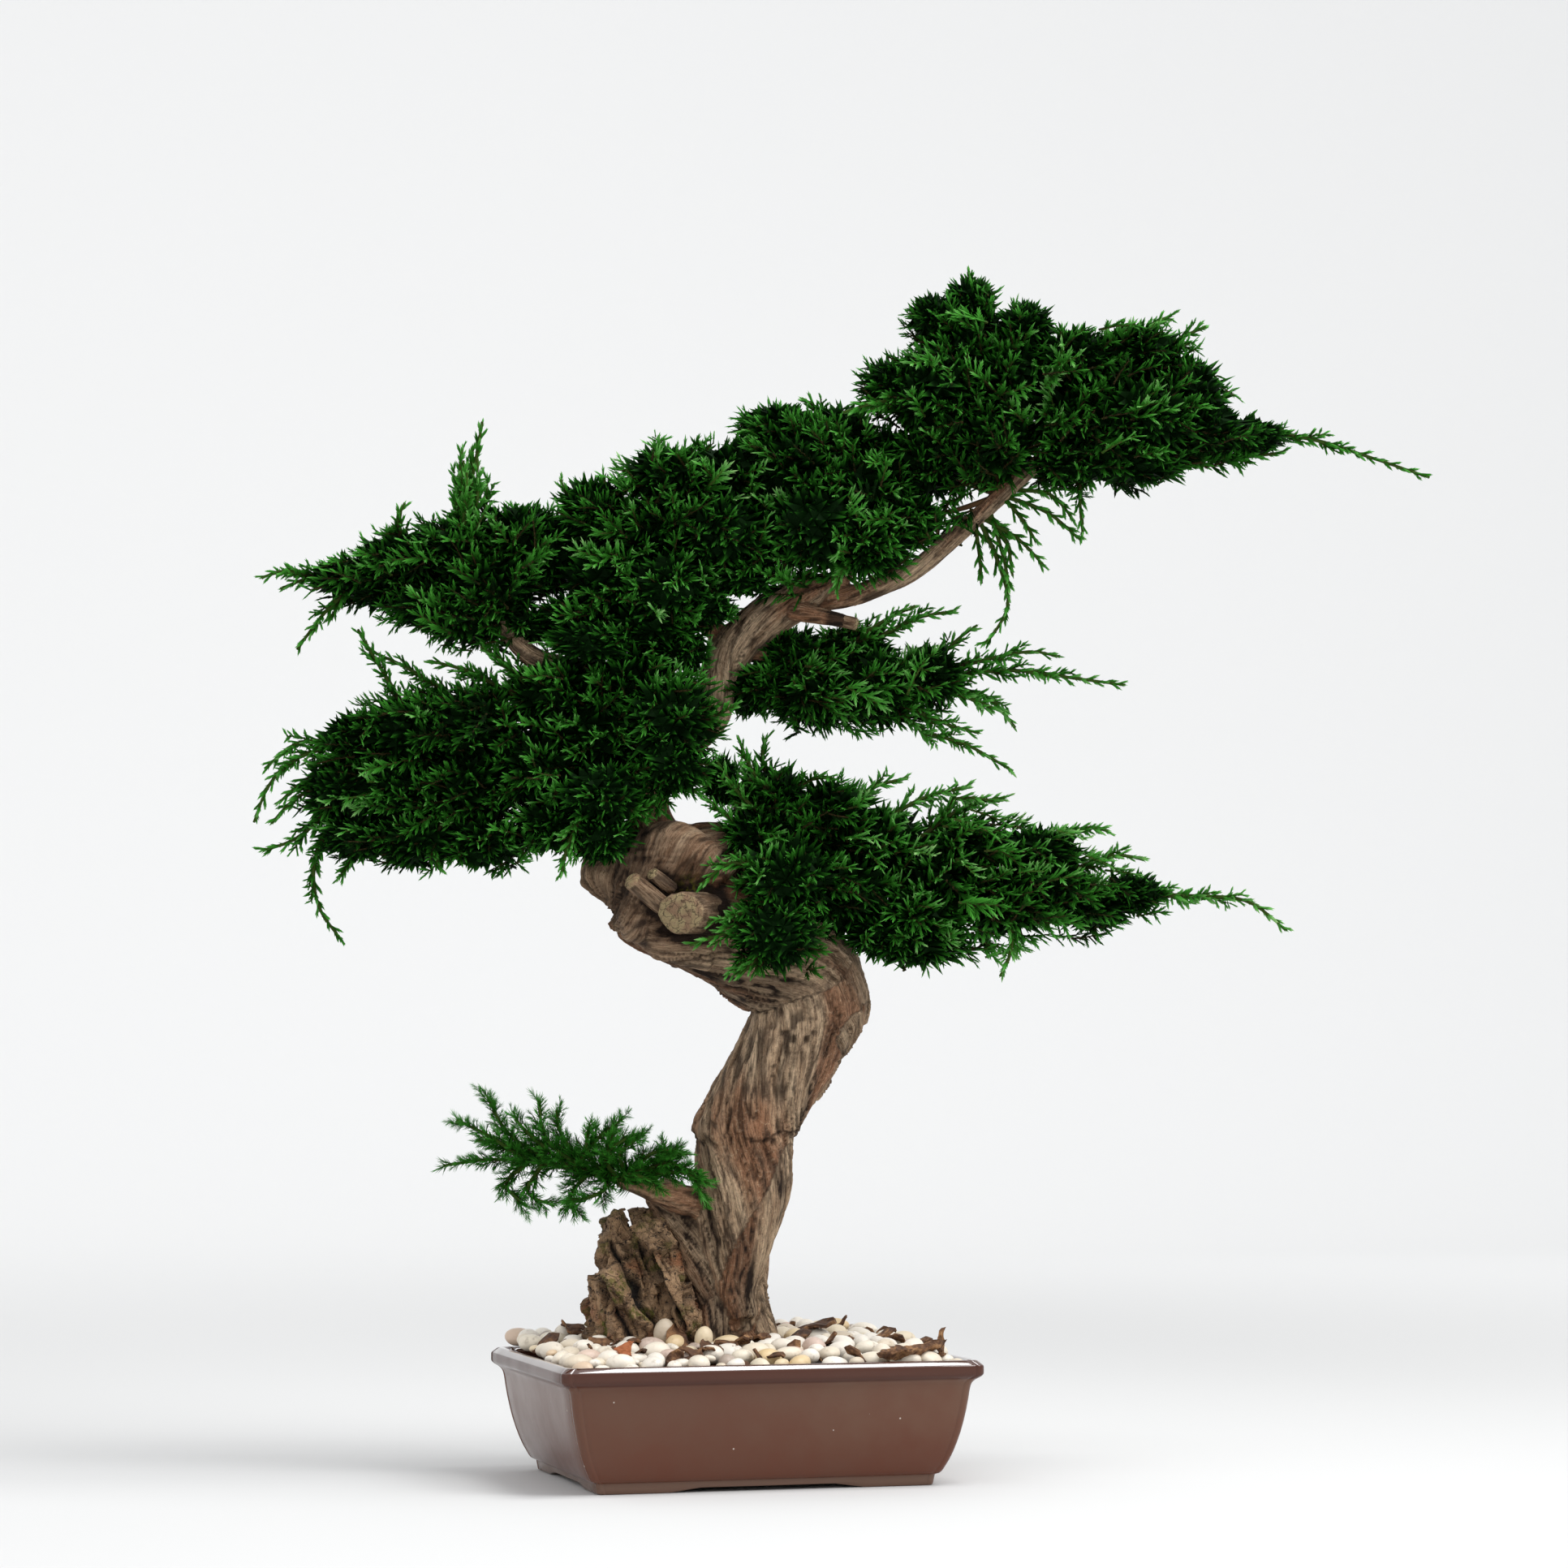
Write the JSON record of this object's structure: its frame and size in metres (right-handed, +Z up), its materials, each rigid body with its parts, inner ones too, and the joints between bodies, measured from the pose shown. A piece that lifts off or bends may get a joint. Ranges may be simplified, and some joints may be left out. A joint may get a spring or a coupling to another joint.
{
  "type": "potted bonsai tree",
  "caption": "Informal upright juniper bonsai with a leaning, bent trunk and spreading pads of foliage, in a rectangular glazed pot dressed with pebbles and rock.",
  "frame": {"origin": "under the middle of the whole tree's and pot's bounding box, on the surface the pot stands on", "axes": "+Z up, +X along the pot's long side, towards the crown; the pot's long front faces -Y"},
  "size_m": [0.838, 0.3092, 0.9094],
  "materials": {
    "glaze": "gloss",
    "soil": "matte",
    "pebble": "satin",
    "rock": "matte",
    "bark": "matte",
    "dry_bark": "matte",
    "foliage": "satin"
  },
  "bodies": {
    "root": {"pot": "glaze", "soil": "soil", "pebbles": "pebble", "rock_lump": "rock", "rock_slab": "rock", "trunk": "bark", "crown_left": "foliage", "crown_right": "foliage", "middle_right": "foliage", "middle_left": "foliage", "upper_left_inner": "foliage", "upper_left_outer": "foliage", "lower_left_inner": "foliage", "lower_left_outer": "foliage", "under_limb": "foliage", "hanging_sprays": "foliage", "lower_right_inner": "foliage", "lower_right_outer": "foliage", "low_branch": "foliage", "bark_curl": "dry_bark", "bark_point": "dry_bark", "bark_chip": "dry_bark", "dry_leaf_left": "dry_bark", "dry_leaf_back": "dry_bark", "dry_leaf_right": "dry_bark"}
  },
  "joints": []
}
